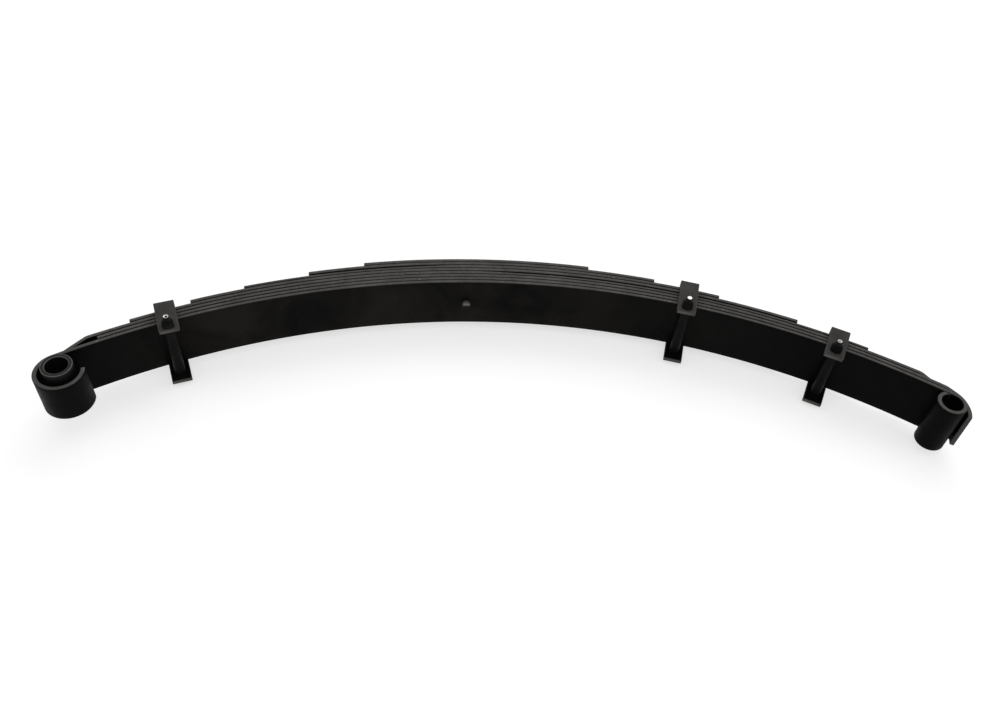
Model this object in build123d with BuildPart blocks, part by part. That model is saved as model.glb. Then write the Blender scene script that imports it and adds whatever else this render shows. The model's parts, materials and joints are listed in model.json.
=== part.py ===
from build123d import *
from math import acos, cos, degrees, radians, sin
import os

# Eight-leaf vehicle spring with one bushed eye, one plain eye, a military wrap and three bolted
# rebound clips.
#
# Frame, in millimetres: the origin is where the centre bolt meets the main leaf's concave face.
# +X runs along the spring towards its long end, +Y runs out through the leaf pack along the centre bolt,
# and +Z runs across the leaves, so the spring lies on its side with its eyes standing upright.

# ---------------------------------------------------------------- driving dimensions
# Leaves
leaf_width = 70.0
leaf_thickness = 5.5
leaf_count = 8
arc_radius = 920.0  # concave face of the main leaf; every other leaf is concentric with it
edge_radius = 0.9  # rolled edges of the flat bar

# How far each leaf reaches from the centre bolt, measured round the main leaf's concave face.
# The first value is the short side (-X), the second the long side (+X).
eye_reach = (483.5, 600.0)
second_leaf_short_reach = 433.0
third_leaf_reach = (480.0, 594.0)
third_leaf_full_reach = (443.0, 557.0)  # full width as far as here, tapering beyond
third_leaf_end_width = 41.0
plain_leaf_reach = {
    "fourth_leaf": (395.0, 493.0),
    "fifth_leaf": (326.0, 407.0),
    "sixth_leaf": (264.0, 311.0),
    "seventh_leaf": (188.0, 231.0),
    "eighth_leaf": (122.0, 150.0),
}

# Eyes: both are rolled towards the concave side
bushed_eye_bore = 44.0
bushed_eye_roll = 253.0  # degrees that the bar travels round the bush
bushed_eye_bottom = -15.0  # the bar is cut narrower here, from its lower edge only
bottom_slope = (28.0, 8.0)  # the lower edge starts and stops rising this far before the tangent point
plain_eye_bore = 24.0
plain_eye_roll = 311.0  # full thickness as far as here
scarf_thickness = 2.0  # the bar then thins down to this tip, which lies along the concave face
scarf_gap = 0.3

# Military wrap of the second leaf round the plain eye
wrap_inner_radius = 21.5
wrap_angle = 84.0
wrap_full_reach = 588.0
wrap_taper_length = 40.0
wrap_end_width = 49.5

# Bush in the large eye
sleeve_outer_radius = 16.8
sleeve_bore_radius = 12.25
sleeve_overhang = 9.5
rubber_recess = 2.5
running_clearance = 0.05

# Centre bolt
centre_bolt_diameter = 8.0
centre_head_diameter = 11.0
centre_head_height = 7.5
centre_head_chamfer = 1.0
centre_nut_height = 7.0
centre_thread_overhang = 4.0

# Rebound clips: where they sit, how many leaves they hold, how many degrees they are canted on the
# pack, how far the clip bolt stands off the main leaf, and how far the two arms run on past the bolt
clip_layout = {
    1: {"reach": -358.0, "leaves": 4, "cant": 5.0, "standoff": 13.8, "upper_nose": 6.4, "lower_nose": 13.2},
    2: {"reach": 273.5, "leaves": 6, "cant": 0.0, "standoff": 9.0, "upper_nose": 8.7, "lower_nose": 16.0},
    3: {"reach": 457.0, "leaves": 4, "cant": 0.0, "standoff": 12.0, "upper_nose": 11.0, "lower_nose": 16.0},
}
strap_width = 23.0
strap_thickness = 5.5
strap_gap = 73.0  # between the inner faces of the two arms
strap_bend_radius = 2.5
clip_bolt_diameter = 8.0
clip_bolt_length = 99.0
hex_across_flats = 13.0
hex_head_height = 5.3
clip_nut_height = 6.5
clip_nut_collar_height = 2.0
clip_nut_collar_diameter = 11.4
spacer_diameter = 12.5
spacer_bore = 9.0
rivet_diameter = 8.0
rivet_head_diameter = 14.0
rivet_head_height = 4.5
rivet_head_round = 3.5
rivet_sink_diameter = 11.5
rivet_sink_depth = 2.0
bolt_tip_chamfer = 0.8
sleeve_chamfer = 0.6

# Small allowances
contact_gap = 0.02
hole_clearance = 0.3  # on the radius of a bolt hole

# ---------------------------------------------------------------- derived sizes
half_width = leaf_width / 2
pack_height = leaf_count * leaf_thickness
arc_centre = (0.0, -arc_radius)
bushed_bore_radius = bushed_eye_bore / 2
plain_bore_radius = plain_eye_bore / 2
arm_inner = strap_gap / 2
arm_outer = arm_inner + strap_thickness
bolt_hole_radius = clip_bolt_diameter / 2 + hole_clearance
sleeve_bottom = bushed_eye_bottom - sleeve_overhang
sleeve_top = half_width + sleeve_overhang
far = 200.0  # longer than anything that a cutting tool has to clear


# ---------------------------------------------------------------- helpers
def heading(reach):
    """Angle in degrees from the centre bolt to a place on the leaf."""
    return degrees(reach / arc_radius)


def polar(radius, angle):
    """Point at this radius from the arc's centre; the angle is clockwise from +Y."""
    return (radius * sin(radians(angle)), radius * cos(radians(angle)) - arc_radius)


def face_plane(reach, layer=0.0, side=1):
    """Plane on a leaf's broad face: local x runs along the leaf towards side, z points out of the pack."""
    angle = heading(reach)
    x, y = polar(arc_radius + layer, angle)
    outwards = (sin(radians(angle)), cos(radians(angle)), 0)
    along = (side * cos(radians(angle)), -side * sin(radians(angle)), 0)
    return Plane(origin=(x, y, 0), x_dir=along, z_dir=outwards)


def arc(centre, radius, start, end):
    """Arc between two angles, both clockwise from +Y."""
    return CenterArc(centre, radius, 90 - start, start - end)


def leaf_outline(layer, short_reach, long_reach):
    """Plan outline of a plain leaf: two concentric arcs and two square ends."""
    inner = arc_radius + layer * leaf_thickness
    outer = inner + leaf_thickness
    start, end = -heading(short_reach), heading(long_reach)
    with BuildSketch(Plane.XY.offset(-half_width)) as outline:
        with BuildLine():
            arc(arc_centre, inner, start, end)
            Line(polar(inner, end), polar(outer, end))
            arc(arc_centre, outer, end, start)
            Line(polar(outer, start), polar(inner, start))
        make_face()
    return outline.sketch


def around(centre, radius, angle):
    """Point on a circle; the angle is clockwise from +Y."""
    return (centre[0] + radius * sin(radians(angle)), centre[1] + radius * cos(radians(angle)))


def main_leaf_outline():
    """Plan outline of the main leaf, with an eye rolled at each end on the concave side."""
    outer = arc_radius + leaf_thickness
    start, end = -heading(eye_reach[0]), heading(eye_reach[1])
    left, right = bushed_eye_centre, plain_eye_centre
    left_tip, right_tip = start - bushed_eye_roll, end + plain_eye_roll
    left_outer = bushed_bore_radius + leaf_thickness
    right_outer = plain_bore_radius + leaf_thickness
    # the scarfed tip lies just clear of the concave face, which is tangent to the bore
    scarf_radius = plain_bore_radius + scarf_thickness
    scarf_tip = end + 360 - degrees(acos((plain_bore_radius - scarf_gap) / scarf_radius))
    with BuildSketch(Plane.XY.offset(-half_width)) as outline:
        with BuildLine():
            arc(arc_centre, outer, start, end)
            arc(right, right_outer, end, right_tip)
            Line(around(right, right_outer, right_tip), around(right, scarf_radius, scarf_tip))
            Line(around(right, scarf_radius, scarf_tip), around(right, plain_bore_radius, scarf_tip))
            arc(right, plain_bore_radius, scarf_tip, end)
            arc(arc_centre, arc_radius, end, start)
            arc(left, bushed_bore_radius, start, left_tip)
            Line(around(left, bushed_bore_radius, left_tip), around(left, left_outer, left_tip))
            arc(left, left_outer, left_tip, start)
        make_face()
    return outline.sketch


def wrapped_leaf_outline():
    """Plan outline of the second leaf: a square short end, and a long end that wraps the plain eye."""
    inner = arc_radius + leaf_thickness
    outer = inner + leaf_thickness
    start, end = -heading(second_leaf_short_reach), heading(eye_reach[1])
    tip = end + wrap_angle
    centre = polar(inner - wrap_inner_radius, end)
    wrap_outer = wrap_inner_radius + leaf_thickness
    with BuildSketch(Plane.XY.offset(-half_width)) as outline:
        with BuildLine():
            arc(arc_centre, outer, start, end)
            arc(centre, wrap_outer, end, tip)
            Line(around(centre, wrap_outer, tip), around(centre, wrap_inner_radius, tip))
            arc(centre, wrap_inner_radius, tip, end)
            arc(arc_centre, inner, end, start)
            Line(polar(inner, start), polar(outer, start))
        make_face()
    return outline.sketch


def taper_tools(reach, side, length, end_width):
    """Two wedges that narrow a leaf from both edges, starting at this reach and going on past its end."""
    with BuildSketch(face_plane(side * reach, 0, side).offset(-far / 2)) as wedges:
        for edge in (1, -1):
            with BuildLine():
                Polyline(
                    (0, edge * half_width),
                    (length, edge * end_width / 2),
                    (far, edge * end_width / 2),
                    (far, edge * leaf_width),
                    (0, edge * leaf_width),
                    close=True,
                )
            make_face()
    return extrude(wedges.sketch, amount=far, mode=Mode.PRIVATE)


def long_edges(solid):
    """The edges of a leaf's two side faces, without the short ones across its ends."""
    sides = solid.edges().group_by(Axis.Z)
    return [edge for edge in sides[0] + sides[-1] if edge.length > leaf_thickness * 1.2]


def round_hole(radius, plane=Plane.XZ):
    """Cutter for a round hole that runs right through along the plane's normal."""
    with BuildSketch(plane) as hole:
        Circle(radius)
    return extrude(hole.sketch, amount=far, both=True, mode=Mode.PRIVATE)


def clip_plane(clip):
    """Plane of a clip at its bolt: local x points out through the pack, local y is up."""
    place = heading(clip["reach"])
    angle = place + clip["cant"]
    x, y = polar(arc_radius - clip["standoff"], place)
    outwards = (sin(radians(angle)), cos(radians(angle)), 0)
    along = (cos(radians(angle)), -sin(radians(angle)), 0)
    return Plane(origin=(x, y, 0), x_dir=outwards, z_dir=along)


def clip_face(clip, distance):
    """Plane across a clip at this distance from its bolt; z points out of the pack."""
    plane = clip_plane(clip)
    return Plane(origin=plane.from_local_coords((distance, 0, 0)), x_dir=plane.z_dir, z_dir=plane.x_dir)


def canted_distance(clip, depth, half_span):
    """Distance from the bolt at which a canted piece this wide just clears this depth in the pack."""
    turn = radians(abs(clip["cant"]))
    return (clip["standoff"] + depth + half_span * sin(turn)) / cos(turn)


def rivet_shank(clip, end):
    """Countersunk shank from the outermost leaf's inner face to this distance from the clip bolt."""
    start = canted_distance(clip, (clip["leaves"] - 1) * leaf_thickness, rivet_sink_diameter / 2)
    upright = (Align.CENTER, Align.CENTER, Align.MIN)
    with BuildPart(clip_face(clip, start), mode=Mode.PRIVATE) as shank:
        Cylinder(rivet_diameter / 2, end - start, align=upright)
        Cone(rivet_sink_diameter / 2, rivet_diameter / 2, rivet_sink_depth, align=upright)
    return shank.part


def finish(part, name):
    """Labels a finished piece and writes its STEP file."""
    part.label = name
    export_step(part, f"parts/{name}.step")


bushed_eye_centre = polar(arc_radius - bushed_bore_radius, -heading(eye_reach[0]))
plain_eye_centre = polar(arc_radius - plain_bore_radius, heading(eye_reach[1]))
centre_bolt_hole = round_hole(centre_bolt_diameter / 2 + hole_clearance)
clip_rivets = {"fourth_leaf": (1, 3), "sixth_leaf": (2,)}

os.makedirs("parts", exist_ok=True)

# ---------------------------------------------------------------- main leaf
with BuildPart() as main_leaf:
    extrude(main_leaf_outline(), amount=leaf_width)
    fillet(long_edges(main_leaf.part), edge_radius)
    # the whole roll is cut short from below
    with BuildSketch(Plane.XY.offset(-leaf_width)):
        with Locations(bushed_eye_centre):
            Circle(bushed_bore_radius + leaf_thickness * 1.2)
    extrude(amount=leaf_width + bushed_eye_bottom, mode=Mode.SUBTRACT)
    # the bar's lower edge slopes up to meet that cut
    with BuildSketch(face_plane(-eye_reach[0], -leaf_thickness, -1)):
        with BuildLine():
            Polyline(
                (-bottom_slope[0], -half_width),
                (-bottom_slope[1], bushed_eye_bottom),
                (leaf_width, bushed_eye_bottom),
                (leaf_width, -leaf_width),
                (-bottom_slope[0], -leaf_width),
                close=True,
            )
        make_face()
    extrude(amount=leaf_thickness * 4, mode=Mode.SUBTRACT)
    add(centre_bolt_hole, mode=Mode.SUBTRACT)
finish(main_leaf.part, "main_leaf")

# ---------------------------------------------------------------- second leaf, with the military wrap
wrap_taper = taper_tools(wrap_full_reach, 1, wrap_taper_length, wrap_end_width)

with BuildPart() as second_leaf:
    extrude(wrapped_leaf_outline(), amount=leaf_width)
    fillet(long_edges(second_leaf.part), edge_radius)
    add(wrap_taper, mode=Mode.SUBTRACT)
    add(centre_bolt_hole, mode=Mode.SUBTRACT)
finish(second_leaf.part, "second_leaf")

# ---------------------------------------------------------------- third leaf, tapered at both ends
third_leaf_tapers = [
    taper_tools(full, side, end - full, third_leaf_end_width)
    for side, full, end in zip((-1, 1), third_leaf_full_reach, third_leaf_reach)
]

with BuildPart() as third_leaf:
    extrude(leaf_outline(2, *third_leaf_reach), amount=leaf_width)
    fillet(long_edges(third_leaf.part), edge_radius)
    add(third_leaf_tapers, mode=Mode.SUBTRACT)
    add(centre_bolt_hole, mode=Mode.SUBTRACT)
finish(third_leaf.part, "third_leaf")

# ---------------------------------------------------------------- plain leaves
for layer, (name, reach) in enumerate(plain_leaf_reach.items(), start=3):
    rivet_holes = [rivet_shank(clip_layout[number], far) for number in clip_rivets.get(name, ())]
    with BuildPart() as plain_leaf:
        extrude(leaf_outline(layer, *reach), amount=leaf_width)
        fillet(long_edges(plain_leaf.part), edge_radius)
        add(centre_bolt_hole, mode=Mode.SUBTRACT)
        add(rivet_holes, mode=Mode.SUBTRACT)
    finish(plain_leaf.part, name)

# ---------------------------------------------------------------- centre bolt and its nut
bolt_facing = Plane(origin=(0, 0, 0), x_dir=(1, 0, 0), z_dir=(0, 1, 0))  # z runs out through the pack
centre_bolt_tip = pack_height + centre_nut_height + centre_thread_overhang

with BuildPart() as centre_bolt:
    with BuildSketch(bolt_facing.offset(-contact_gap)):
        Circle(centre_head_diameter / 2)
    extrude(amount=-centre_head_height)
    chamfer(centre_bolt.faces().sort_by(Axis.Y)[0].edges(), centre_head_chamfer)
    with BuildSketch(bolt_facing.offset(-contact_gap)):
        Circle(centre_bolt_diameter / 2)
    extrude(amount=centre_bolt_tip + contact_gap)
    chamfer(centre_bolt.faces().sort_by(Axis.Y)[-1].edges(), bolt_tip_chamfer)
finish(centre_bolt.part, "centre_bolt")

with BuildPart() as centre_nut:
    with BuildSketch(bolt_facing.offset(pack_height + contact_gap)):
        RegularPolygon(hex_across_flats / 2, 6, major_radius=False)
        Circle(centre_bolt_diameter / 2, mode=Mode.SUBTRACT)
    extrude(amount=centre_nut_height)
finish(centre_nut.part, "centre_nut")

# ---------------------------------------------------------------- bush of the large eye
with BuildPart() as eye_rubber:
    with BuildSketch(Plane.XY.offset(bushed_eye_bottom + rubber_recess)):
        with Locations(bushed_eye_centre):
            Circle(bushed_bore_radius - contact_gap)
            Circle(sleeve_outer_radius + running_clearance, mode=Mode.SUBTRACT)
    extrude(amount=half_width - bushed_eye_bottom - 2 * rubber_recess)
finish(eye_rubber.part, "eye_rubber")

with BuildPart() as eye_sleeve:
    with BuildSketch(Plane.XY.offset(sleeve_bottom)):
        with Locations(bushed_eye_centre):
            Circle(sleeve_outer_radius)
            Circle(sleeve_bore_radius, mode=Mode.SUBTRACT)
    extrude(amount=sleeve_top - sleeve_bottom)
    chamfer(eye_sleeve.edges().filter_by(GeomType.CIRCLE), sleeve_chamfer)
finish(eye_sleeve.part, "eye_sleeve")

# ---------------------------------------------------------------- rebound clips
for number, clip in clip_layout.items():
    held = clip["leaves"] * leaf_thickness
    web_inner = canted_distance(clip, held, strap_width / 2) + contact_gap
    web_outer = web_inner + strap_thickness
    upper_nose, lower_nose = -clip["upper_nose"], -clip["lower_nose"]
    across = clip_plane(clip)
    web_face = clip_face(clip, web_outer)
    bolt_plane = Plane(origin=across.origin, x_dir=across.x_dir, z_dir=(0, 0, 1))
    shank = rivet_shank(clip, web_outer)

    with BuildPart() as strap:
        with BuildSketch(across.offset(-strap_width / 2)):
            with BuildLine():
                Polyline(
                    (lower_nose, -arm_outer),
                    (web_outer, -arm_outer),
                    (web_outer, arm_outer),
                    (upper_nose, arm_outer),
                    (upper_nose, arm_inner),
                    (web_inner, arm_inner),
                    (web_inner, -arm_inner),
                    (lower_nose, -arm_inner),
                    close=True,
                )
            make_face()
        extrude(amount=strap_width)
        bends = strap.edges().filter_by(Axis(across.origin, across.z_dir))
        bends = bends.sort_by(Axis(across.origin, across.x_dir))
        fillet(bends[-2:], strap_bend_radius)
        with BuildSketch(bolt_plane):
            Circle(bolt_hole_radius)
        extrude(amount=far, both=True, mode=Mode.SUBTRACT)
        with BuildSketch(web_face):
            Circle(rivet_diameter / 2)
        extrude(amount=-strap_thickness * 2, mode=Mode.SUBTRACT)
    finish(strap.part, f"clip_{number}_strap")

    with BuildPart() as clip_bolt:
        with BuildSketch(bolt_plane.offset(-arm_outer - contact_gap)):
            RegularPolygon(hex_across_flats / 2, 6, major_radius=False)
        extrude(amount=-hex_head_height)
        with BuildSketch(bolt_plane.offset(-arm_outer - contact_gap)):
            Circle(clip_bolt_diameter / 2)
        extrude(amount=clip_bolt_length)
        chamfer(clip_bolt.faces().sort_by(Axis.Z)[-1].edges(), bolt_tip_chamfer)
    finish(clip_bolt.part, f"clip_{number}_bolt")

    with BuildPart() as clip_nut:
        with BuildSketch(bolt_plane.offset(arm_outer + contact_gap)):
            RegularPolygon(hex_across_flats / 2, 6, major_radius=False)
        extrude(amount=clip_nut_height)
        with BuildSketch(bolt_plane.offset(arm_outer + contact_gap + clip_nut_height)):
            Circle(clip_nut_collar_diameter / 2)
        extrude(amount=clip_nut_collar_height)
        with BuildSketch(bolt_plane.offset(arm_outer)):
            Circle(clip_bolt_diameter / 2)
        extrude(amount=far, mode=Mode.SUBTRACT)
    finish(clip_nut.part, f"clip_{number}_nut")

    with BuildPart() as spacer:
        with BuildSketch(bolt_plane.offset(-arm_inner + contact_gap)):
            Circle(spacer_diameter / 2)
            Circle(spacer_bore / 2, mode=Mode.SUBTRACT)
        extrude(amount=strap_gap - 2 * contact_gap)
    finish(spacer.part, f"clip_{number}_spacer")

    with BuildPart() as rivet:
        add(shank)
        with BuildSketch(web_face):
            Circle(rivet_head_diameter / 2)
        extrude(amount=rivet_head_height)
        head_end = rivet.faces().sort_by(Axis(across.origin, across.x_dir))[-1]
        fillet(head_end.edges(), rivet_head_round)
    finish(rivet.part, f"clip_{number}_rivet")
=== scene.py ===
import json
from math import asin, atan2, cos, degrees, pi, radians, sin, tan

import bpy
from mathutils import Matrix, Vector, noise


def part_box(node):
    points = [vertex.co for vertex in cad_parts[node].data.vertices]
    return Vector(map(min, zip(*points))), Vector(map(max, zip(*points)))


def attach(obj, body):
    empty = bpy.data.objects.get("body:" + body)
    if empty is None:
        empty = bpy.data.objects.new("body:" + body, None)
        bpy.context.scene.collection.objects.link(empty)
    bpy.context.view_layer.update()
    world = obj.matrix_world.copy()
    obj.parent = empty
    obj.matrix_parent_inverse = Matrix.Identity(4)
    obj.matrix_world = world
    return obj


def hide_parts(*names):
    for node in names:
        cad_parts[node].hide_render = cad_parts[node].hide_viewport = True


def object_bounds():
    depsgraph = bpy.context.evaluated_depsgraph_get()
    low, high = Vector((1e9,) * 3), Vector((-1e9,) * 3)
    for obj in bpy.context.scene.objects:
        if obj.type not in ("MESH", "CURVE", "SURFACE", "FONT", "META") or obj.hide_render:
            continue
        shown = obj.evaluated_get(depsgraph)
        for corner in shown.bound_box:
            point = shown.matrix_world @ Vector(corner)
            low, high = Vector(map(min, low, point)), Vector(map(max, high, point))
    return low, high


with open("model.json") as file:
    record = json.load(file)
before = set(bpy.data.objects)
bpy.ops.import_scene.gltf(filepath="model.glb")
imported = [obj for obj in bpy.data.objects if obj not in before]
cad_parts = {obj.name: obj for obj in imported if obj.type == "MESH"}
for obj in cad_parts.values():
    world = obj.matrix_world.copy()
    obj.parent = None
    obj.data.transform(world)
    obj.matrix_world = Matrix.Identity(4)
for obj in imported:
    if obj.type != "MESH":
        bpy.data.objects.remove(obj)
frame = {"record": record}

cad_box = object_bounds()

# ------------------------------------------------------------------ sizes from the frame
# Shapes are worked out in millimetres in the frame's own axes, and made in metres.
MM = 0.001
UP = Vector((0, 0, 1))


def box_mm(node):
    """Lowest and highest corner of a CAD node in millimetres."""
    low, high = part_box(node)
    return Vector(low) / MM, Vector(high) / MM


mounts = {mount["name"]: mount for mount in frame["record"]["mounts"]}
LEAVES = (
    "main_leaf",
    "second_leaf",
    "third_leaf",
    "fourth_leaf",
    "fifth_leaf",
    "sixth_leaf",
    "seventh_leaf",
    "eighth_leaf",
)
PACK = "spring_pack"
SLEEVE = "bush_sleeve"

plain_eye = Vector(mounts["plain_eye_bore"]["pos_m"]).xy / MM
bushed_eye = Vector(mounts["bush_sleeve_bore"]["pos_m"]).xy / MM
PLAIN_BORE = mounts["plain_eye_bore"]["dims"]["r_mm"]
SLEEVE_BORE = mounts["bush_sleeve_bore"]["dims"]["r_mm"]
HEAD_RADIUS = mounts["centre_bolt_head"]["dims"]["r_mm"]

HALF_WIDTH = box_mm("main_leaf")[1].z
THICKNESS = box_mm("eighth_leaf")[1].y / len(LEAVES)
# the plain eye touches the main leaf's concave face, which fixes the radius of that face
ARC = (PLAIN_BORE**2 - plain_eye.length_squared) / (2 * (plain_eye.y + PLAIN_BORE))
FIT = 0.02  # gap between pieces that touch
BUSHED_BORE = (box_mm("eye_rubber")[1].x - box_mm("eye_rubber")[0].x) / 2 + FIT
RUBBER_LOW, RUBBER_HIGH = (corner.z for corner in box_mm("eye_rubber"))
SLEEVE_LOW, SLEEVE_HIGH = (corner.z for corner in box_mm("eye_sleeve"))
SLEEVE_OUTER = (box_mm("eye_sleeve")[1].x - box_mm("eye_sleeve")[0].x) / 2
RUBBER_RECESS = 2.5  # at both ends of the eye
EYE_BOTTOM = RUBBER_LOW - RUBBER_RECESS


def unit(angle):
    """Unit vector at this angle in degrees, clockwise from +Y."""
    return Vector((sin(radians(angle)), cos(radians(angle))))


def on_arc(radius, angle):
    """Point in plan at this distance from the centre of the leaves' arc."""
    return unit(angle) * radius - Vector((0, ARC))


def heading(point):
    """Angle of a plan point about the centre of the leaves' arc."""
    return degrees(atan2(point.x, point.y + ARC))


SHORT_EYE_ANGLE = heading(bushed_eye)
LONG_EYE_ANGLE = heading(plain_eye)


# ------------------------------------------------------------------ mesh helpers
def smooth_step(value):
    """0 below 0, 1 above 1 and an S curve between."""
    value = min(max(value, 0.0), 1.0)
    return value * value * (3 - 2 * value)


SHARP_ANGLE = 35.0  # edges that turn by more than this many degrees are shaded sharp


def make_piece(name, vertices, faces, material, body, nodes, edge=None):
    """A smooth shaded mesh from points in millimetres, which rides on a body and replaces CAD nodes.

    edge holds the wear-and-light value of each vertex, or is a function that gives it for a point;
    besides real wear and bare metal, it marks where painted light and painted highlights make a piece
    lighter.
    """
    mesh = bpy.data.meshes.new(name)
    mesh.from_pydata([tuple(Vector(v) * MM) for v in vertices], [], faces)
    mesh.validate()
    wear_and_light = mesh.attributes.new("wear_and_light", "FLOAT", "POINT")
    if callable(edge):
        edge = [edge(v) for v in vertices]
    wear_and_light.data.foreach_set("value", edge or [0.0] * len(mesh.vertices))
    mesh.shade_smooth()
    mesh.set_sharp_from_angle(angle=radians(SHARP_ANGLE))
    mesh.materials.append(material)
    piece = bpy.data.objects.new(name, mesh)
    bpy.context.scene.collection.objects.link(piece)
    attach(piece, body)
    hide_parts(*nodes)


def bridge(rings):
    """Quads between consecutive closed rings of equal length."""
    faces = []
    count = len(rings[0])
    for a, b in zip(rings, rings[1:]):
        for i in range(count):
            j = (i + 1) % count
            faces.append((a[i], a[j], b[j], b[i]))
    return faces


def lathe(profile, centre, up, segments, closed=False):
    """Vertices and faces of (radius, height) points turned about an axis; a radius of 0 makes a pole."""
    side = up.orthogonal().normalized()
    other = up.cross(side)
    vertices, rings = [], []
    for radius, height in profile:
        if radius == 0:
            rings.append([len(vertices)] * segments)
            vertices.append(centre + up * height)
            continue
        ring = []
        for i in range(segments):
            turn = 2 * pi * i / segments
            ring.append(len(vertices))
            vertices.append(centre + up * height + (side * cos(turn) + other * sin(turn)) * radius)
        rings.append(ring)
    if closed:
        rings.append(rings[0])
    faces = []
    for quad in bridge(rings):
        corners = list(dict.fromkeys(quad))
        if len(corners) > 2:
            faces.append(tuple(corners))
    return vertices, faces


def arc_points(centre, radius, start, end, steps):
    """(x, y) points round an arc, angles in degrees anticlockwise from the first axis."""
    turns = [radians(start + (end - start) * i / steps) for i in range(steps + 1)]
    return [(centre[0] + radius * cos(t), centre[1] + radius * sin(t)) for t in turns]


# ------------------------------------------------------------------ leaves
EDGE_ROUND = 1.15
CROWN = 0.1  # the rolled edges of the bar bulge by this much
STEP = 3.6  # spacing of the mesh along a leaf
RIPPLE = 0.16  # depth of the slow ripple in the rolled faces
SCALE_MARKS = 0.035  # and of the marks that mill scale leaves
EDGE_WAVER = 0.1
FACE_DEPTH = 0.2  # points this near to a face belong to it
SHEARED_WEAR = 0.6
SHEARED_STATIONS = (0.3, 0.9)  # distances from a sheared end


def leaf_section(thickness, low, high):
    """(through, across, wear and light) points round a bar with rolled edges, from low on its inner
    face; the rolled edges get 1 and are painted lighter, partly as worn paint and partly as a painted
    highlight.
    """
    r = min(EDGE_ROUND, thickness * 0.45)
    face_steps = 12
    points = []
    for side in (0, 1):
        start, end = (low + r, high - r) if side == 0 else (high - r, low + r)
        for i in range(face_steps + 1):
            across = start + (end - start) * i / face_steps
            points.append((0.0 if side == 0 else thickness, across, 0.0))
        rim, sign = (high, 1) if side == 0 else (low, -1)
        turns = (20, 40, 60, 78)
        for turn in turns:
            t = radians(turn)
            step = r - r * cos(t)
            through = step if side == 0 else thickness - step
            points.append((through, rim - sign * (r - r * sin(t)) - sign * CROWN, sin(t) ** 6))
        for i in range(3):
            part = (i + 1) / 4
            through = r + (thickness - 2 * r) * part
            through = through if side == 0 else thickness - through
            points.append((through, rim - sign * CROWN * (2 * part - 1) ** 2, 1.0))
        for turn in reversed(turns):
            t = radians(turn)
            step = r - r * cos(t)
            through = thickness - step if side == 0 else step
            points.append((through, rim - sign * (r - r * sin(t)) - sign * CROWN, sin(t) ** 6))
    return points


def bent_leaf(name, stations, material, seed):
    """Sweeps the bar along stations of (inner point, outward direction, low, high, thickness).

    seed is the leaf's place in LEAVES, and shifts the noise from leaf to leaf.
    """
    vertices, wear_and_light, rings = [], [], []
    total = len(stations)
    bevels = (0.75, 0.22, 0.0)  # how far the sheared ends draw in
    for index, (point, outward, low, high, thickness) in enumerate(stations):
        from_end = min(index, total - 1 - index)
        inset = bevels[from_end] * thickness / THICKNESS if from_end < len(bevels) else 0.0
        ring = []
        for through, across, worn_and_lit in leaf_section(thickness, low, high):
            middle = (low + high) / 2
            half = (high - low) / 2
            through = thickness / 2 + (through - thickness / 2) * (1 - 2 * inset / thickness)
            across = middle + (across - middle) * (1 - inset / half)
            spot = Vector((point.x * 0.02, point.y * 0.02, seed * 7.3))
            ripple = RIPPLE * noise.noise(spot + Vector((0, 0, across * 0.012)))
            scale_mark = SCALE_MARKS * noise.noise(Vector((point.x * 0.16, across * 0.16, seed * 3.1)))
            if worn_and_lit > 0.05:
                waver = EDGE_WAVER * noise.noise(spot) - EDGE_WAVER
                across += waver * (1 if across > middle else -1)
            if FACE_DEPTH < through < thickness - FACE_DEPTH:
                ripple = scale_mark = 0.0
            shift = through + min(0.0, ripple + scale_mark) * (1 if through > thickness / 2 else -1)
            ring.append(len(vertices))
            vertices.append((*(point + outward * shift), across))
            wear_and_light.append(min(1.0, worn_and_lit + (SHEARED_WEAR if inset > 0 else 0.0)))
        rings.append(ring)
    faces = bridge(rings)
    faces.append(tuple(reversed(rings[0])))
    faces.append(tuple(rings[-1]))
    make_piece(name, vertices, faces, material, PACK, (LEAVES[seed],), edge=wear_and_light)


def run_of_arc(radius, start, end, low, high, thickness=lambda angle: THICKNESS):
    """Stations round the leaves' common centre; low, high and thickness are functions of the angle."""
    steps = max(2, round(abs(radians(end - start)) * radius / STEP))
    turns = [start + (end - start) * i / steps for i in range(steps + 1)]
    return [(on_arc(radius, t), unit(t), low(t), high(t), thickness(t)) for t in turns]


def run_of_roll(centre, radius, start, end, low, high):
    """Stations round an eye, angles clockwise from +Y."""
    steps = max(4, round(abs(end - start) / 4))
    turns = [start + (end - start) * i / steps for i in range(steps + 1)]
    return [(centre + unit(t) * radius, unit(t), low(t), high(t), THICKNESS) for t in turns]


def end_rings(stations):
    """Adds two close stations at each end, so that the sheared ends can be drawn in."""
    first, second = stations[0], stations[1]
    last, before = stations[-1], stations[-2]

    def between(a, b, length):
        part = length / max((b[0] - a[0]).length, 1e-6)
        mixed = [start + (stop - start) * part for start, stop in zip(a, b)]
        mixed[1] = mixed[1].normalized()
        return tuple(mixed)

    near, far = SHEARED_STATIONS
    head = [first, between(first, second, near), between(first, second, far)]
    tail = [between(last, before, far), between(last, before, near), last]
    return head + stations[1:-1] + tail


def full(_):
    """Constant upper edge of a leaf."""
    return HALF_WIDTH


def full_low(_):
    """Constant lower edge of a leaf."""
    return -HALF_WIDTH


def arc_length(angle):
    """Distance round the main leaf's concave face from the centre bolt."""
    return radians(angle) * ARC


SEAM_GAP = 0.5  # the leaves stand this far apart where nothing clamps them
SEAM_OPENS = (60.0, 260.0)  # from the centre bolt
SEAM_CLOSES = (70.0, 20.0)  # before the eyes
NIP_GAP = 1.6  # and this far where a leaf was bent to a different radius from the next
NIP_OPENS = (5.0, 75.0)
NIP_SIDE = {3: 1, 5: -1}  # on its long (1) or short (-1) side


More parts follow.
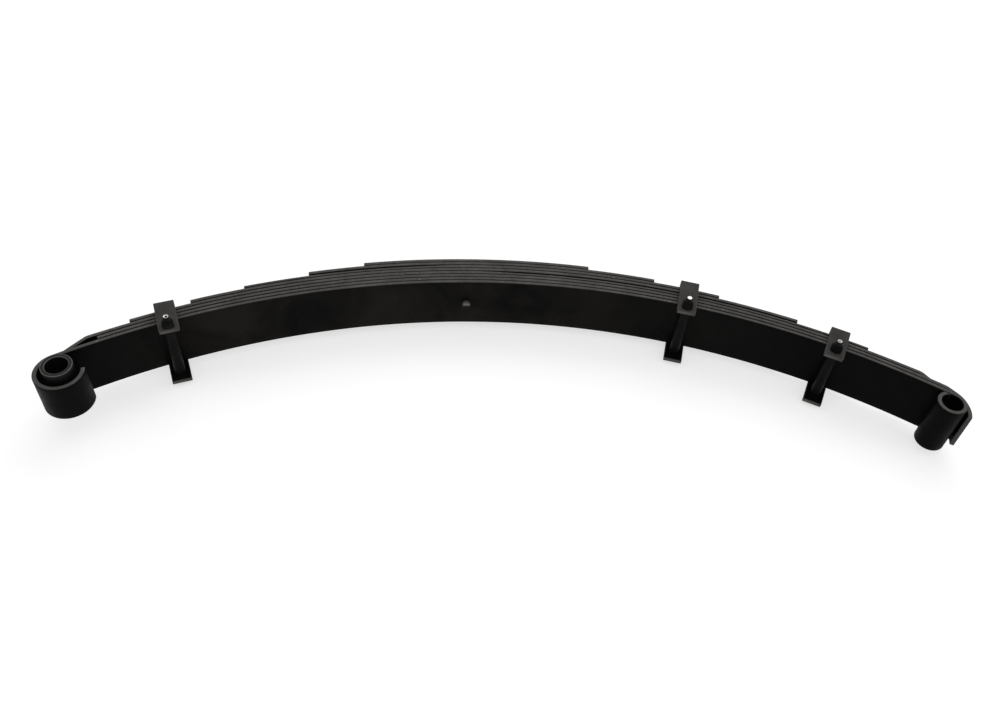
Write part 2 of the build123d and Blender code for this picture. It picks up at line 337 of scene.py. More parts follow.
def seam(layer):
    """Function of the angle that gives a leaf's thickness, less the gap to the next leaf."""

    def thickness(angle):
        reach = arc_length(angle)
        to_eye = abs(arc_length(LONG_EYE_ANGLE if reach > 0 else SHORT_EYE_ANGLE)) - abs(reach)
        opened = smooth_step((abs(reach) - SEAM_OPENS[0]) / (SEAM_OPENS[1] - SEAM_OPENS[0]))
        opened *= smooth_step((to_eye - SEAM_CLOSES[1]) / (SEAM_CLOSES[0] - SEAM_CLOSES[1]))
        away = reach * NIP_SIDE.get(layer, 0)
        nipped = smooth_step((away - NIP_OPENS[0]) / (NIP_OPENS[1] - NIP_OPENS[0]))
        return THICKNESS - max(SEAM_GAP * opened, NIP_GAP * nipped)

    return thickness


BUSHED_ROLL = 253.0
PLAIN_ROLL = 311.0  # full thickness as far as here
SCARF_END = 334.0  # then the bar thins down along the main leaf's concave face
SCARF_GAP = 0.3
CUT_START = 28.0  # before the large eye's tangent point
CUT_END = 8.0


def main_leaf_low(angle):
    """Lower edge of the main leaf, which is cut back towards the large eye."""
    before_eye = arc_length(angle - SHORT_EYE_ANGLE)
    part = (CUT_START - before_eye) / (CUT_START - CUT_END)
    return -HALF_WIDTH + (EYE_BOTTOM + HALF_WIDTH) * min(max(part, 0.0), 1.0)


def make_main_leaf(material):
    """The main leaf with both of its eyes."""
    stations = run_of_roll(
        bushed_eye,
        BUSHED_BORE,
        SHORT_EYE_ANGLE - BUSHED_ROLL,
        SHORT_EYE_ANGLE,
        lambda t: EYE_BOTTOM,
        full,
    )[:-1]
    stations += run_of_arc(ARC, SHORT_EYE_ANGLE, LONG_EYE_ANGLE, main_leaf_low, full, seam(0))
    roll_end = LONG_EYE_ANGLE + PLAIN_ROLL
    stations += run_of_roll(plain_eye, PLAIN_BORE, LONG_EYE_ANGLE, roll_end, full_low, full)[1:]
    tip = run_of_roll(plain_eye, PLAIN_BORE, roll_end, LONG_EYE_ANGLE + SCARF_END, full_low, full)[1:]
    for point, outward, low, high, thickness in tip:
        to_face = (PLAIN_BORE - SCARF_GAP) / outward.dot(unit(LONG_EYE_ANGLE))
        stations.append((point, outward, low, high, min(thickness, to_face - PLAIN_BORE)))
    bent_leaf("leaf_1_main", end_rings(stations), material, 0)


WRAP_INNER = 21.5
WRAP_ANGLE = 84.0
WRAP_TAPER_START = 12.0  # before the plain eye's tangent point
WRAP_TAPER_LENGTH = 40.0
WRAP_END_HALF = 24.75
WRAP_RELIEF = 0.1  # the bar thins by this much as it is bent round


def make_second_leaf(material):
    """The second leaf, whose long end wraps round the plain eye and tapers."""
    start = -degrees(asin(-box_mm("second_leaf")[0].x / (ARC + 2 * THICKNESS)))
    inner = ARC + THICKNESS
    tangent_angle = LONG_EYE_ANGLE - degrees(WRAP_TAPER_START / ARC)
    origin = on_arc(ARC, tangent_angle)
    along = Vector((cos(radians(tangent_angle)), -sin(radians(tangent_angle))))
    stations = run_of_arc(inner, start, LONG_EYE_ANGLE, full_low, full, seam(1))
    centre = on_arc(inner - WRAP_INNER, LONG_EYE_ANGLE)
    stations += run_of_roll(
        centre, WRAP_INNER, LONG_EYE_ANGLE, LONG_EYE_ANGLE + WRAP_ANGLE, full_low, full
    )[1:]
    tapered = []
    for point, outward, _, high, thickness in stations:
        distance = (point + outward * thickness / 2 - origin).dot(along)
        part = min(max(distance / WRAP_TAPER_LENGTH, 0.0), 1.0)
        half = high + (WRAP_END_HALF - high) * part
        tapered.append((point, outward, -half, half, thickness - WRAP_RELIEF * part))
    bent_leaf("leaf_2_wrapped", end_rings(tapered), material, 1)


THIRD_TAPER_HALF = 20.5
THIRD_TAPER = 37.0


def make_third_leaf(material):
    """The third leaf, which tapers in width towards both tips."""
    outer = ARC + 3 * THICKNESS
    start = -degrees(asin(-box_mm("third_leaf")[0].x / outer))
    end = degrees(asin(box_mm("third_leaf")[1].x / outer))

    def half(angle):
        from_tip = min(arc_length(angle - start), arc_length(end - angle))
        part = min(max(1 - from_tip / THIRD_TAPER, 0.0), 1.0)
        return HALF_WIDTH + (THIRD_TAPER_HALF - HALF_WIDTH) * part

    stations = run_of_arc(ARC + 2 * THICKNESS, start, end, lambda t: -half(t), half, seam(2))
    bent_leaf("leaf_3", end_rings(stations), material, 2)


def make_plain_leaf(layer, material):
    """A leaf with two square ends."""
    outer = ARC + (layer + 1) * THICKNESS
    low, high = box_mm(LEAVES[layer])
    start, end = degrees(asin(low.x / outer)), degrees(asin(high.x / outer))

    stations = run_of_arc(ARC + layer * THICKNESS, start, end, full_low, full, seam(layer))
    bent_leaf(f"leaf_{layer + 1}", end_rings(stations), material, layer)


# ------------------------------------------------------------------ turned and threaded pieces
HEX_TURNED = 0.94  # the chamfers start at this share of the distance to the flats
HEX_CHAMFER = 30  # degrees
HEX_SOFTEN = 0.12
THREAD_PITCH = 1.25
THREAD_DEPTH = 0.61  # of the pitch
THREAD_CHAMFER = 0.9


def hex_prism(centre, up, side, low, high, across_flats, chamfers=(True, True), bore=0.0):
    """Hexagon with the curved chamfers that turning leaves on its corners."""
    other = up.cross(side)
    half = across_flats / 2
    steps = 72
    slope = tan(radians(HEX_CHAMFER))
    vertices, rings = [], []

    def reach(turn):
        local = (turn + 30) % 60 - 30
        return half / cos(radians(local))

    def ring(radius_of, height_of):
        found = []
        for i in range(steps):
            turn = 360 * i / steps
            radius = radius_of(turn)
            direction = side * cos(radians(turn)) + other * sin(radians(turn))
            found.append(len(vertices))
            vertices.append(centre + up * height_of(turn) + direction * radius)
        rings.append(found)

    flat = half * HEX_TURNED
    soften = HEX_SOFTEN
    hole = bore if bore else flat * 0.4
    ring(lambda t: hole, lambda t: low)
    ring(lambda t: flat, lambda t: low)
    drop_low = (lambda t: (reach(t) - flat) * slope) if chamfers[0] else (lambda t: 0.0)
    drop_high = (lambda t: (reach(t) - flat) * slope) if chamfers[1] else (lambda t: 0.0)
    ring(lambda t: reach(t) - soften, lambda t: low + drop_low(t))
    ring(lambda t: reach(t), lambda t: low + drop_low(t) + soften)
    ring(lambda t: reach(t), lambda t: high - drop_high(t) - soften)
    ring(lambda t: reach(t) - soften, lambda t: high - drop_high(t))
    ring(lambda t: flat, lambda t: high)
    ring(lambda t: hole, lambda t: high)
    faces = bridge(rings)
    if bore:
        faces += bridge([rings[-1], rings[0]])
    else:
        faces.append(tuple(reversed(rings[0])))
        faces.append(tuple(rings[-1]))
    return vertices, faces


def threaded_rod(centre, up, low, thread_from, high, radius, dimple=0.2):
    """Round shank with a helical thread from thread_from to its chamfered and dimpled end."""
    side = up.orthogonal().normalized()
    other = up.cross(side)
    segments = 48
    pitch = THREAD_PITCH
    depth = THREAD_DEPTH * pitch
    levels = [(low, False)]
    rows_per_pitch = 8
    rows = round((high - thread_from) / pitch * rows_per_pitch)
    levels += [(thread_from + (high - thread_from) * i / rows, True) for i in range(rows + 1)]
    vertices, rings = [], []
    for height, threaded in levels:
        ring = []
        for i in range(segments):
            turn = i / segments
            r = radius
            if threaded:
                phase = ((height - thread_from) / pitch + turn) % 1.0
                valley = 1 - abs(2 * phase - 1)
                fade = min((height - thread_from) / pitch, 1.0)
                r = radius - depth * smooth_step(valley * 1.15 - 0.1) * fade
            r = min(r, radius - max(0.0, THREAD_CHAMFER - (high - height)))
            direction = side * cos(2 * pi * turn) + other * sin(2 * pi * turn)
            ring.append(len(vertices))
            vertices.append(centre + up * height + direction * r)
        rings.append(ring)
    for part, sink in ((0.62, 0.0), (0.5, 0.15 * dimple), (0.3, 0.8 * dimple), (0.1, dimple)):
        ring = []
        for i in range(segments):
            turn = 2 * pi * i / segments
            direction = side * cos(turn) + other * sin(turn)
            ring.append(len(vertices))
            vertices.append(centre + up * (high - sink) + direction * radius * part)
        rings.append(ring)
    faces = bridge(rings)
    faces.append(tuple(reversed(rings[0])))
    faces.append(tuple(rings[-1]))
    return vertices, faces


def joined(*shapes):
    """Several (vertices, faces) shapes as one."""
    vertices, faces = [], []
    for some_vertices, some_faces in shapes:
        offset = len(vertices)
        vertices += some_vertices
        faces += [tuple(i + offset for i in face) for face in some_faces]
    return vertices, faces


HEX = 13.0  # across the flats of every nut and hexagon head
BOLT_RADIUS = 4.0
HEAD_ROUND = 1.6  # rounding of the centre bolt's head
HEAD_LIT_END = 3.0  # depth of the head's end, whose upper half carries a painted highlight


def make_centre_bolt(paint):
    """The centre bolt's round head with its shank, and the nut on the other side of the pack."""
    low, high = box_mm("centre_bolt")
    nut_low, nut_high = box_mm("centre_nut")
    outwards = Vector((0, 1, 0))
    head = -low.y
    profile = [(0, -head), (HEAD_RADIUS * 0.45, -head + 0.02)]
    for t in range(0, 91, 15):
        radius = HEAD_RADIUS - HEAD_ROUND + HEAD_ROUND * sin(radians(t))
        profile.append((radius, -head + HEAD_ROUND - HEAD_ROUND * cos(radians(t))))
    profile += [(HEAD_RADIUS, -0.35), (HEAD_RADIUS - 0.3, -FIT), (BOLT_RADIUS, -FIT)]
    zero = Vector((0, 0, 0))
    head_shape = lathe(profile, zero, outwards, 64)
    shank = threaded_rod(zero, outwards, -FIT, nut_high.y - 1, high.y, BOLT_RADIUS)
    make_piece(
        "centre_bolt_body",
        *joined(head_shape, shank),
        paint,
        PACK,
        ("centre_bolt",),
        # painted highlight: the upper half of the head's end is made lighter, as where light falls on it
        edge=lambda v: smooth_step((v.z - 0.5) / 4) if v.y < -head + HEAD_LIT_END else 0.0,
    )
    nut = hex_prism(zero, outwards, UP, nut_low.y, nut_high.y, HEX, bore=BOLT_RADIUS)
    make_piece("centre_bolt_nut", *nut, paint, PACK, ("centre_nut",))


RING_WEAR = 0.04  # the sleeve's end faces are nearly as dark as its wall
# painted highlight: the sleeve's bevels are made bright
BEVEL_HIGHLIGHT = 0.4
SLEEVE_BEVEL = 1.1
RUBBER_LIP = 0.7  # rounding of the rubber's rims


def make_bush(rubber, steel):
    """Moulded rubber ring and the steel sleeve through it."""
    centre = Vector((*bushed_eye, 0))
    inner, outer = SLEEVE_OUTER + 0.05, BUSHED_BORE - FIT
    middle = (inner + outer) / 2
    lip = RUBBER_LIP
    top = [
        (outer, RUBBER_HIGH - 1.6),
        (outer - 0.25, RUBBER_HIGH - 0.6),
        (outer - lip, RUBBER_HIGH - 0.15),
        (outer - 1.1 * lip - 0.3, RUBBER_HIGH),
        (middle + 0.5, RUBBER_HIGH - 0.9),
        (middle - 0.4, RUBBER_HIGH - 1.2),
        (inner + lip + 0.2, RUBBER_HIGH - 0.5),
        (inner + lip * 0.5, RUBBER_HIGH - 0.3),
        (inner, RUBBER_HIGH - 1.0),
    ]
    bottom = [(r, RUBBER_LOW + RUBBER_HIGH - z) for r, z in reversed(top)]
    vertices, faces = lathe(top + bottom, centre, UP, 128, closed=True)
    make_piece("bush_rubber", vertices, faces, rubber, PACK, ("eye_rubber",))
    bevel = SLEEVE_BEVEL
    profile = []
    for radius, sign in ((SLEEVE_OUTER, 1), (SLEEVE_BORE, -1)):
        ends = (SLEEVE_LOW, SLEEVE_HIGH) if sign == 1 else (SLEEVE_HIGH, SLEEVE_LOW)
        for z, way in ((ends[0], sign), (ends[1], -sign)):
            turned = []
            for t in (0, 30, 60, 90):
                across = radius - sign * bevel * (1 - cos(radians(t)))
                turned.append((across, z + way * bevel * (1 - sin(radians(t)))))
            profile += turned if way == -sign else list(reversed(turned))

    def rim_highlight(point):
        from_end = min(SLEEVE_HIGH - point.z, point.z - SLEEVE_LOW)
        return RING_WEAR if from_end < FIT else BEVEL_HIGHLIGHT * (from_end < bevel * 0.7)

    tube = lathe(profile, centre, UP, 128, closed=True)
    make_piece("bush_sleeve_tube", *tube, steel, SLEEVE, ("eye_sleeve",), edge=rim_highlight)


# ------------------------------------------------------------------ rebound clips
CLIP_LEAVES = {1: 4, 2: 6, 3: 4}
CLIP_CANT = {1: 5.0, 2: 0.0, 3: 0.0}  # degrees that the clip is turned on the pack
CLIP_NOSES = {1: (6.4, 13.2), 2: (8.7, 16.0), 3: (11.0, 16.0)}  # past the bolt: upper and lower arm
STRAP_WIDTH = 23.0
STRAP_THICKNESS = 5.5
STRAP_ROUND = 0.85  # rounding of the bar's four edges
STRAP_WAVER = 0.1
# painted highlight on the strap's rounded edges
STRAP_EDGE_HIGHLIGHT = 0.8
NOSE_DRAW = 0.11  # the arms' ends shrink by this share
NOSE_LENGTH = 0.9
OUTER_BEND = 2.7
OUTER_FACE_LIGHT = 0.38  # painted light: the strap's outer faces and its arms' ends are made lighter, as where light falls on them
INNER_BEND = 0.9
TIP_WEAR = {1: 1.0, 2: 1.0, 3: 0.6}  # how bright the end of each bolt has stayed
TIP_DIMPLE = {1: 1.3, 2: 0.2, 3: 0.6}
RIVET_RADIUS = 4.0
RIVET_HEAD_RADIUS = 7.0
RIVET_HEAD_HEIGHT = 4.5
RIVET_SHANK = 10.0  # hidden in the strap and the leaves
COLLAR_HEIGHT = 2.0  # round collar on top of the nut
COLLAR_RADIUS = 5.7
COLLAR_ROUND = 1.1
SPACER_BORE = 4.5
SPACER_BEVEL = 0.5
SHINY_RADIUS = 2.6  # bright middle of a bolt's end


def strap_half(web_inner, nose, side):
    """(inner point, outer point, draw) from one arm's tip to the middle of the web; side is 1 or -1."""
    arm_inner = box_mm("clip_1_strap")[1].z - STRAP_THICKNESS
    arm_outer = arm_inner + STRAP_THICKNESS
    web_outer = web_inner + STRAP_THICKNESS
    steps = 10
    rows = []
    for back, draw in ((0, 1.0), (0.25, 0.4)):
        rows.append(((nose + back, arm_inner), (nose + back, arm_outer), draw))
    for i in range(steps):
        part = i / steps
        inner_x = nose + NOSE_LENGTH + (web_inner - INNER_BEND - nose - NOSE_LENGTH) * part
        outer_x = nose + NOSE_LENGTH + (web_outer - OUTER_BEND - nose - NOSE_LENGTH) * part
        rows.append(((inner_x, arm_inner), (outer_x, arm_outer), 0.0))
    corner_in = (web_inner - INNER_BEND, arm_inner - INNER_BEND)
    corner_out = (web_outer - OUTER_BEND, arm_outer - OUTER_BEND)
    bend_in = arc_points(corner_in, INNER_BEND, 90, 0, 8)
    bend_out = arc_points(corner_out, OUTER_BEND, 90, 0, 8)
    rows += [(a, b, 0.0) for a, b in zip(bend_in, bend_out)]
    for i in range(1, steps + 1):
        part = 1 - i / steps
        rows.append(((web_inner, corner_in[1] * part), (web_outer, corner_out[1] * part), 0.0))
    return [((a[0], side * a[1]), (b[0], side * b[1]), draw) for a, b, draw in rows]


def strap_shape(base, outwards, along, web_inner, noses):
    """U-shaped strap: a rounded section carried from the tip of the upper arm to that of the lower."""
    upper = strap_half(web_inner, noses[0], 1)
    lower = strap_half(web_inner, noses[1], -1)
    rows = upper + lower[-2::-1]
    r = STRAP_ROUND
    half = STRAP_WIDTH / 2
    section = []
    corners = (((half - r, 1), 0), ((-half + r, 1), 90), ((-half + r, 0), 180), ((half - r, 0), 270))
    for centre, start in corners:
        for i in range(5):
            t = radians(start + 90 * i / 4)
            lift = r * sin(t) - (r if centre[1] else -r)
            section.append((centre[0] + r * cos(t), centre[1], lift, sin(2 * t) ** 2))
    vertices, wear_and_light, rings = [], [], []
    for (ix, iz), (ox, oz), draw in rows:
        a = base + outwards * ix + Vector((0, 0, iz))
        b = base + outwards * ox + Vector((0, 0, oz))
        thick = (b - a).normalized()
        ring = []
        for across, level, lift, worn_and_lit in section:
            point = a + (b - a) * level + thick * lift
            point = point + along * across
            centre_point = (a + b) / 2
            if draw:
                point = centre_point + (point - centre_point) * (1 - NOSE_DRAW * draw * draw)
            waver = STRAP_WAVER * noise.noise(point * 0.08)
            ring.append(len(vertices))
            vertices.append(point + thick * min(0.0, waver) * (1 if level else -1))
            # painted light on the outer faces and arms' ends, painted highlight on the rounded edges
            wear_and_light.append(max(worn_and_lit * STRAP_EDGE_HIGHLIGHT, draw * OUTER_FACE_LIGHT, OUTER_FACE_LIGHT * level))
        rings.append(ring)
    faces = bridge(rings)
    faces.append(tuple(reversed(rings[0])))
    faces.append(tuple(rings[-1]))
    return vertices, faces, wear_and_light


def make_clip(number, paint, nut_paint, steel):
    """One rebound clip: strap, bolt, nut, spacer tube and rivet."""
    bolt_low, bolt_high = box_mm(f"clip_{number}_bolt")
    nut_low, nut_high = box_mm(f"clip_{number}_nut")
    centre_plan = (bolt_low.xy + bolt_high.xy) / 2
    axis = Vector((*centre_plan, 0))
    angle = heading(centre_plan) + CLIP_CANT[number]
    outwards = Vector((*unit(angle), 0))
    along = Vector((cos(radians(angle)), -sin(radians(angle)), 0))
    standoff = ARC - (centre_plan + Vector((0, ARC))).length
    turn = radians(CLIP_CANT[number])
    held = standoff + CLIP_LEAVES[number] * THICKNESS
    web_inner = (held + STRAP_WIDTH / 2 * sin(turn)) / cos(turn) + FIT
    noses = [-reach for reach in CLIP_NOSES[number]]
    vertices, faces, wear_and_light = strap_shape(axis, outwards, along, web_inner, noses)
    make_piece(
        f"clip_{number}_strap_body", vertices, faces, paint, PACK, (f"clip_{number}_strap",), edge=wear_and_light
    )
    strap_low = box_mm(f"clip_{number}_strap")[0].z - FIT
    head = hex_prism(axis, UP, along, bolt_low.z, strap_low, HEX, chamfers=(True, False))
    thread_from = nut_high.z - 1.2
    dimple = TIP_DIMPLE[number]
    shank = threaded_rod(axis, UP, strap_low - 0.5, thread_from, bolt_high.z, BOLT_RADIUS, dimple)

    def tip_wear(point):
        on_tip = point.z > bolt_high.z - 0.5 and (point.xy - axis.xy).length < SHINY_RADIUS
        return TIP_WEAR[number] if on_tip else 0.0

    bolt = joined(head, shank)
    make_piece(f"clip_{number}_bolt_body", *bolt, steel, PACK, (f"clip_{number}_bolt",), edge=tip_wear)
    hex_top = nut_high.z - COLLAR_HEIGHT
    hexagon = hex_prism(axis, UP, along, nut_low.z, hex_top, HEX, bore=BOLT_RADIUS)
    rounding = hex_top + 0.9
    collar = [(BOLT_RADIUS, hex_top - 0.2), (COLLAR_RADIUS, hex_top - 0.2), (COLLAR_RADIUS, rounding)]
    for t in (20, 40, 60, 80, 90):
        across = COLLAR_RADIUS - COLLAR_ROUND * (1 - cos(radians(t)))
        collar.append((across, rounding + COLLAR_ROUND * sin(radians(t))))
    collar += [(BOLT_RADIUS, hex_top + 1.8)]
    ring = lathe(collar, axis, UP, 64, closed=True)
    nut = joined(hexagon, ring)
    make_piece(f"clip_{number}_nut_body", *nut, nut_paint, PACK, (f"clip_{number}_nut",))
    low, high = box_mm(f"clip_{number}_spacer")
    radius = (high.x - low.x) / 2
    bore, bevel = SPACER_BORE, SPACER_BEVEL
    tube = [
        (bore, low.z + bevel),
        (bore + bevel, low.z),
        (radius - bevel, low.z),
        (radius, low.z + bevel),
        (radius, high.z - bevel),
        (radius - bevel, high.z),
        (bore + bevel, high.z),
        (bore, high.z - bevel),
    ]
    spacer = lathe(tube, axis, UP, 64, closed=True)
    make_piece(f"clip_{number}_spacer_tube", *spacer, paint, PACK, (f"clip_{number}_spacer",))
    seat = web_inner + STRAP_THICKNESS
    dome = [(0, seat + RIVET_HEAD_HEIGHT)]
    for t in range(8, 91, 8):
        across = RIVET_HEAD_RADIUS * sin(radians(t)) ** 0.9
        dome.append((across, seat + RIVET_HEAD_HEIGHT * cos(radians(t)) ** 0.8))
    dome += [(RIVET_HEAD_RADIUS, seat), (RIVET_RADIUS, seat)]
    dome += [(RIVET_RADIUS, seat - RIVET_SHANK), (0, seat - RIVET_SHANK)]
    rivet = lathe(dome, axis, outwards, 48)
    make_piece(f"clip_{number}_rivet_body", *rivet, paint, PACK, (f"clip_{number}_rivet",))


# ------------------------------------------------------------------ materials
def new_material(name):
    """Empty material with its principled shader."""
    material = bpy.data.materials.new(name)
    material.use_nodes = True
    tree = material.node_tree
    return material, tree, tree.nodes["Principled BSDF"]


def noise_node(tree, scale, detail, roughness=0.55, distortion=0.0):
    """Noise in the object's own coordinates, scale in features per metre."""
    place = tree.nodes.new("ShaderNodeTexCoord")
    texture = tree.nodes.new("ShaderNodeTexNoise")
    texture.inputs["Scale"].default_value = scale
    texture.inputs["Detail"].default_value = detail
    texture.inputs["Roughness"].default_value = roughness
    texture.inputs["Distortion"].default_value = distortion
    tree.links.new(place.outputs["Object"], texture.inputs["Vector"])
    return texture.outputs["Fac"]


def ramp(tree, value, low, high, first=0.0, last=1.0):
    """Maps a value from low..high to first..last, held beyond both."""
    node = tree.nodes.new("ShaderNodeMapRange")
    node.inputs["From Min"].default_value = low
    node.inputs["From Max"].default_value = high
    node.inputs["To Min"].default_value = first
    node.inputs["To Max"].default_value = last
    tree.links.new(value, node.inputs["Value"])
    return node.outputs["Result"]


def along_spring(tree, low, high):
    """0 at one place along X and 1 at another, held beyond both."""
    place = tree.nodes.new("ShaderNodeTexCoord")
    parts = tree.nodes.new("ShaderNodeSeparateXYZ")
    tree.links.new(place.outputs["Object"], parts.inputs[0])
    return ramp(tree, parts.outputs["X"], low, high)


def blend_colour(tree, factor, first, second):
    """Mixes two colours, each a tuple or an output."""
    node = tree.nodes.new("ShaderNodeMix")
    node.data_type = "RGBA"
    tree.links.new(factor, node.inputs["Factor"])
    for socket, colour in ((node.inputs[6], first), (node.inputs[7], second)):
        if isinstance(colour, tuple):
            socket.default_value = (*colour, 1.0)
        else:
            tree.links.new(colour, socket)
    return node.outputs[2]


def combine(tree, operation, first, second):
    """One maths node; each operand is a number or an output."""
    node = tree.nodes.new("ShaderNodeMath")
    node.operation = operation
    for socket, value in zip(node.inputs, (first, second)):
        if isinstance(value, (int, float)):
            socket.default_value = value
        else:
            tree.links.new(value, socket)
    return node.outputs[0]


def bump(tree, shader, heights, distance):
    """Bump from a height output."""
    node = tree.nodes.new("ShaderNodeBump")
    node.inputs["Strength"].default_value = 1.0
    node.inputs["Distance"].default_value = distance
    tree.links.new(heights, node.inputs["Height"])
    tree.links.new(node.outputs["Normal"], shader.inputs["Normal"])


def wear_and_light_mask(tree):
    """The mesh's wear-and-light value: high where a piece is worn or bare, and where painted light and
    painted highlights make it lighter; 0 on the plain faces.
    """
    node = tree.nodes.new("ShaderNodeAttribute")
    node.attribute_name = "wear_and_light"
    return node.outputs["Fac"]


def satin_black(name, faces, edges, roughness, specular=0.04, grain=900.0, chips=0.7):
    """Satin black paint on rolled steel: cloudy faces that darken towards both ends of the spring as
    painted shade, edges painted lighter partly as worn paint and partly as a painted highlight, fine
    grain, dust specks and small bright chips.

    faces and edges are each a darker and a lighter colour, roughness is the least and the most,
    grain is in features per metre, and fewer chips show the nearer chips is to 1.
    """
    material, tree, shader = new_material(name)
    wear_and_light = wear_and_light_mask(tree)
    clouds_and_end_shade = ramp(tree, noise_node(tree, 9, 4, 0.6, 0.8), 0.36, 0.62)
    # painted shade: the faces fade to their darker colour towards both ends of the spring
    clouds_and_end_shade = combine(tree, "MULTIPLY", clouds_and_end_shade, along_spring(tree, -0.43, -0.3))
    clouds_and_end_shade = combine(tree, "MULTIPLY", clouds_and_end_shade, along_spring(tree, 0.4, 0.0))
    face_colour = blend_colour(tree, clouds_and_end_shade, *faces)
    streaks = ramp(tree, noise_node(tree, 45, 5, 0.7, 0.5), 0.3, 0.7)
    edge_colour = blend_colour(tree, streaks, *edges)
    # painted highlight: edges take the lighter edge colours, partly worn paint and partly light falling
    # on them
    colour = blend_colour(tree, wear_and_light, face_colour, edge_colour)
    grains = ramp(tree, noise_node(tree, grain, 2, 0.6), 0.3, 0.7, 0.72, 1.28)
    tint = tree.nodes.new("ShaderNodeVectorMath")
    tint.operation = "SCALE"
    tree.links.new(colour, tint.inputs[0])
    tree.links.new(grains, tint.inputs["Scale"])
    dust = ramp(tree, noise_node(tree, 520, 1.5, 0.5), 0.74, 0.79, 0.0, 0.3)
    colour = blend_colour(tree, dust, tint.outputs[0], (0.10, 0.093, 0.085))
    chipped = ramp(tree, noise_node(tree, 230, 4, 0.7), chips, chips + 0.03)
    chipped = combine(tree, "MULTIPLY", ramp(tree, wear_and_light, 0.6, 0.95), chipped)
    colour = blend_colour(tree, chipped, colour, (0.42, 0.40, 0.37))
    tree.links.new(colour, shader.inputs["Base Color"])
    dullness = ramp(tree, noise_node(tree, 55, 5, 0.65), 0.35, 0.65, *roughness)
    tree.links.new(dullness, shader.inputs["Roughness"])
    shader.inputs["Specular IOR Level"].default_value = specular
    heights = combine(tree, "MULTIPLY", noise_node(tree, grain, 3, 0.6), 0.35)
    bump(tree, shader, combine(tree, "ADD", heights, noise_node(tree, 160, 3, 0.5)), 0.00012)
    return material


def tipped_steel(name, dark, bright):
    """Dark steel that is bright where the wear-and-light value is high: bare rubbed metal at the bolts'
    ends, and a painted highlight on the sleeve's bevels.
    """
    material, tree, shader = new_material(name)
    tone = ramp(tree, noise_node(tree, 420, 4, 0.65), 0.3, 0.7)
    patches = ramp(tree, noise_node(tree, 330, 3, 0.6), 0.24, 0.42)
    bright_share = combine(tree, "MULTIPLY", wear_and_light_mask(tree), patches)
    dull = blend_colour(tree, tone, dark, tuple(value * 2.2 for value in dark))
    shiny = blend_colour(tree, tone, tuple(value * 0.8 for value in bright), bright)
    tree.links.new(blend_colour(tree, bright_share, dull, shiny), shader.inputs["Base Color"])
    tree.links.new(ramp(tree, bright_share, 0.2, 0.8), shader.inputs["Metallic"])
    tree.links.new(ramp(tree, noise_node(tree, 900, 2), 0.3, 0.7, 0.3, 0.5), shader.inputs["Roughness"])
    shader.inputs["Specular IOR Level"].default_value = 0.12
    bump(tree, shader, noise_node(tree, 1500, 2), 0.00003)
    return material


def black_rubber():
    """Matt moulded rubber with a faint bloom."""
    material, tree, shader = new_material("bush_rubber_black")
    bloom = ramp(tree, noise_node(tree, 180, 4, 0.6), 0.4, 0.75)
    colour = blend_colour(tree, bloom, (0.0007, 0.0007, 0.0007), (0.0025, 0.0024, 0.0023))
    tree.links.new(colour, shader.inputs["Base Color"])
    tree.links.new(ramp(tree, noise_node(tree, 300, 3), 0.3, 0.7, 0.62, 0.8), shader.inputs["Roughness"])
    shader.inputs["Specular IOR Level"].default_value = 0.02
    bump(tree, shader, noise_node(tree, 1400, 3), 0.00008)
    return material


FLOOR_GLOW = 0.6
FLOOR_HALF = 30.0  # metres from the middle to each side


def floor_material():
    """Plain pale studio floor."""
    material, tree, shader = new_material("studio_floor")
    tone = ramp(tree, noise_node(tree, 3, 2), 0.3, 0.7)
    colour = blend_colour(tree, tone, (0.52, 0.52, 0.52), (0.54, 0.54, 0.54))
    tree.links.new(colour, shader.inputs["Base Color"])
    shader.inputs["Roughness"].default_value = 0.9
    # a lit sweep: its own light keeps the shadows pale
    shader.inputs["Emission Color"].default_value = (1.0, 1.0, 1.0, 1.0)
    shader.inputs["Emission Strength"].default_value = FLOOR_GLOW
    shader.inputs["Specular IOR Level"].default_value = 0.1
    return material


# ------------------------------------------------------------------ camera, lights and floor
WORLD_LIGHT = 0.72
KEY_ENERGY = 17.0
KEY_PLACE = (0.6, 1.5, 1.9)
KEY_TARGET = (0.05, 0.0, 0.0)
KEY_SIZE = (2.6, 1.4)
CAMERA_HEADING = 8.46  # degrees from +Y towards +X
CAMERA_ELEVATION = 47.25
CAMERA_ROLL = 6.04
CAMERA_PLACE = Vector((-0.07535, -0.84656, 0.8232))
CAMERA_LENS = 33.66


def add_camera():
    """Camera above the concave side, looking towards the pack and down."""
    heading_angle, elevation = radians(CAMERA_HEADING), radians(CAMERA_ELEVATION)
    ahead = Vector((sin(heading_angle), cos(heading_angle), 0))
    forward = ahead * cos(elevation) - Vector((0, 0, sin(elevation)))
    level = Vector((cos(heading_angle), -sin(heading_angle), 0))
    upright = level.cross(forward)
    roll = radians(CAMERA_ROLL)
    right = level * cos(roll) + upright * sin(roll)
    top = upright * cos(roll) - level * sin(roll)
    camera = bpy.data.objects.new("camera", bpy.data.cameras.new("camera"))
    camera.data.sensor_width = 36.0
    camera.data.lens = CAMERA_LENS
    turn = Matrix((right, top, -forward)).transposed().to_4x4()
    camera.matrix_world = Matrix.Translation(CAMERA_PLACE) @ turn
    bpy.context.scene.collection.objects.link(camera)
    bpy.context.scene.camera = camera


def add_softbox(name, place, target, size, energy):
    """Rectangular white area light aimed at a point."""
    light = bpy.data.lights.new(name, "AREA")
    light.shape = "RECTANGLE"
    light.size, light.size_y = size
    light.energy = energy
    lamp = bpy.data.objects.new(name, light)
    lamp.location = place
    lamp.rotation_mode = "QUATERNION"
    lamp.rotation_quaternion = (Vector(target) - Vector(place)).to_track_quat("-Z", "Y")
    bpy.context.scene.collection.objects.link(lamp)


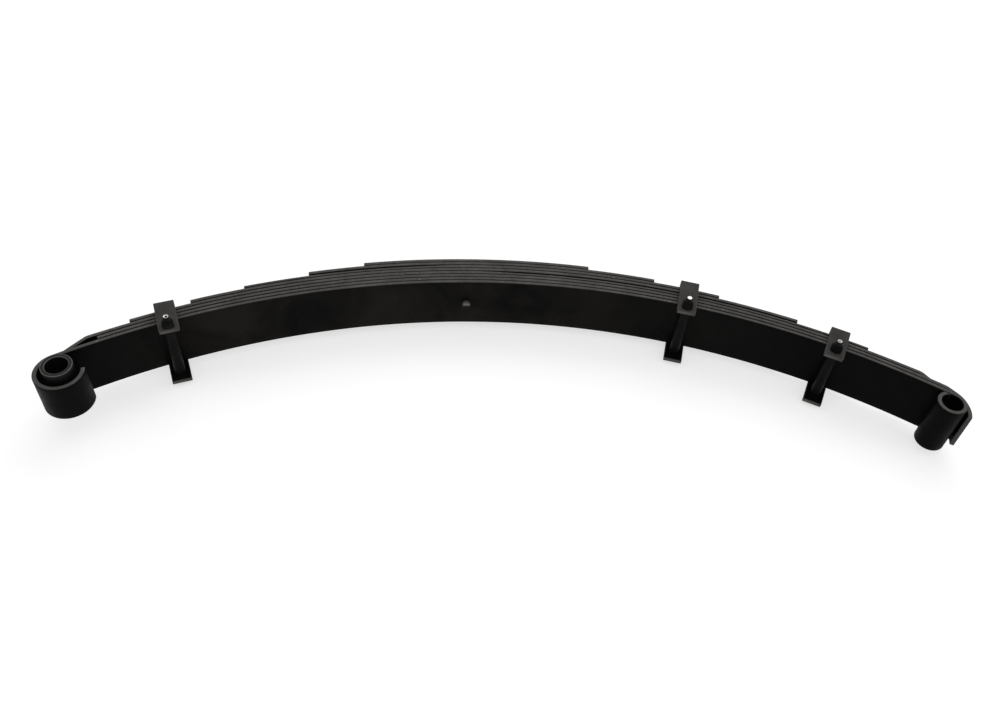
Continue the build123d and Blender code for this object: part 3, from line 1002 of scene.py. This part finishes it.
def add_studio():
    """Pale floor under the spring, an even surround and one large soft light behind and above."""
    level = cad_box[0].z
    half = FLOOR_HALF
    mesh = bpy.data.meshes.new("floor")
    corners = [(-half, -half, level), (half, -half, level), (half, half, level), (-half, half, level)]
    mesh.from_pydata(corners, [], [(0, 1, 2, 3)])
    mesh.materials.append(floor_material())
    ground = bpy.data.objects.new("floor", mesh)
    bpy.context.scene.collection.objects.link(ground)
    world = bpy.data.worlds.new("studio")
    world.use_nodes = True
    world.node_tree.nodes["Background"].inputs["Color"].default_value = (1.0, 1.0, 1.0, 1.0)
    world.node_tree.nodes["Background"].inputs["Strength"].default_value = WORLD_LIGHT
    bpy.context.scene.world = world
    add_softbox("key_softbox", KEY_PLACE, KEY_TARGET, KEY_SIZE, KEY_ENERGY)
    # plain tone curve, so that the floor is near white beside near-black paint
    bpy.context.scene.view_settings.view_transform = "Standard"


# ------------------------------------------------------------------ build
# edge colours: the rolled edges are painted lighter, partly as worn paint and partly as a painted
# highlight
leaf_paint = satin_black(
    "leaf_satin_black",
    ((0.0015, 0.0015, 0.0016), (0.0095, 0.0083, 0.0065)),
    ((0.062, 0.060, 0.057), (0.105, 0.100, 0.095)),
    (0.38, 0.56),
    specular=0.03,
    chips=0.665,
)
# edge colours: painted light on the straps' outer faces and a painted highlight on their rounded edges
clip_paint = satin_black(
    "clip_satin_black",
    ((0.0030, 0.0029, 0.0028), (0.0062, 0.0058, 0.0052)),
    ((0.095, 0.089, 0.084), (0.15, 0.14, 0.13)),
    (0.45, 0.65),
    grain=1400.0,
    chips=0.72,
)
# edge colours: the painted highlight on the upper half of the centre bolt's head
nut_paint = satin_black(
    "nut_satin_black",
    ((0.003, 0.003, 0.003), (0.008, 0.0075, 0.007)),
    ((0.12, 0.10, 0.09), (0.2, 0.17, 0.155)),
    (0.35, 0.5),
)
bolt_steel = tipped_steel("bolt_dark_steel_bright_tip", (0.004, 0.0039, 0.0038), (0.86, 0.84, 0.80))
# bright colour: the painted highlight on the sleeve's bevels
sleeve_steel = tipped_steel("sleeve_dark_steel_painted_rim_highlight", (0.003, 0.003, 0.003), (0.30, 0.295, 0.29))
rubber = black_rubber()

make_main_leaf(leaf_paint)
make_second_leaf(leaf_paint)
make_third_leaf(leaf_paint)
for layer in range(3, len(LEAVES)):
    make_plain_leaf(layer, leaf_paint)
make_centre_bolt(nut_paint)
make_bush(rubber, sleeve_steel)
for number in CLIP_LEAVES:
    make_clip(number, clip_paint, nut_paint, bolt_steel)

add_camera()
add_studio()
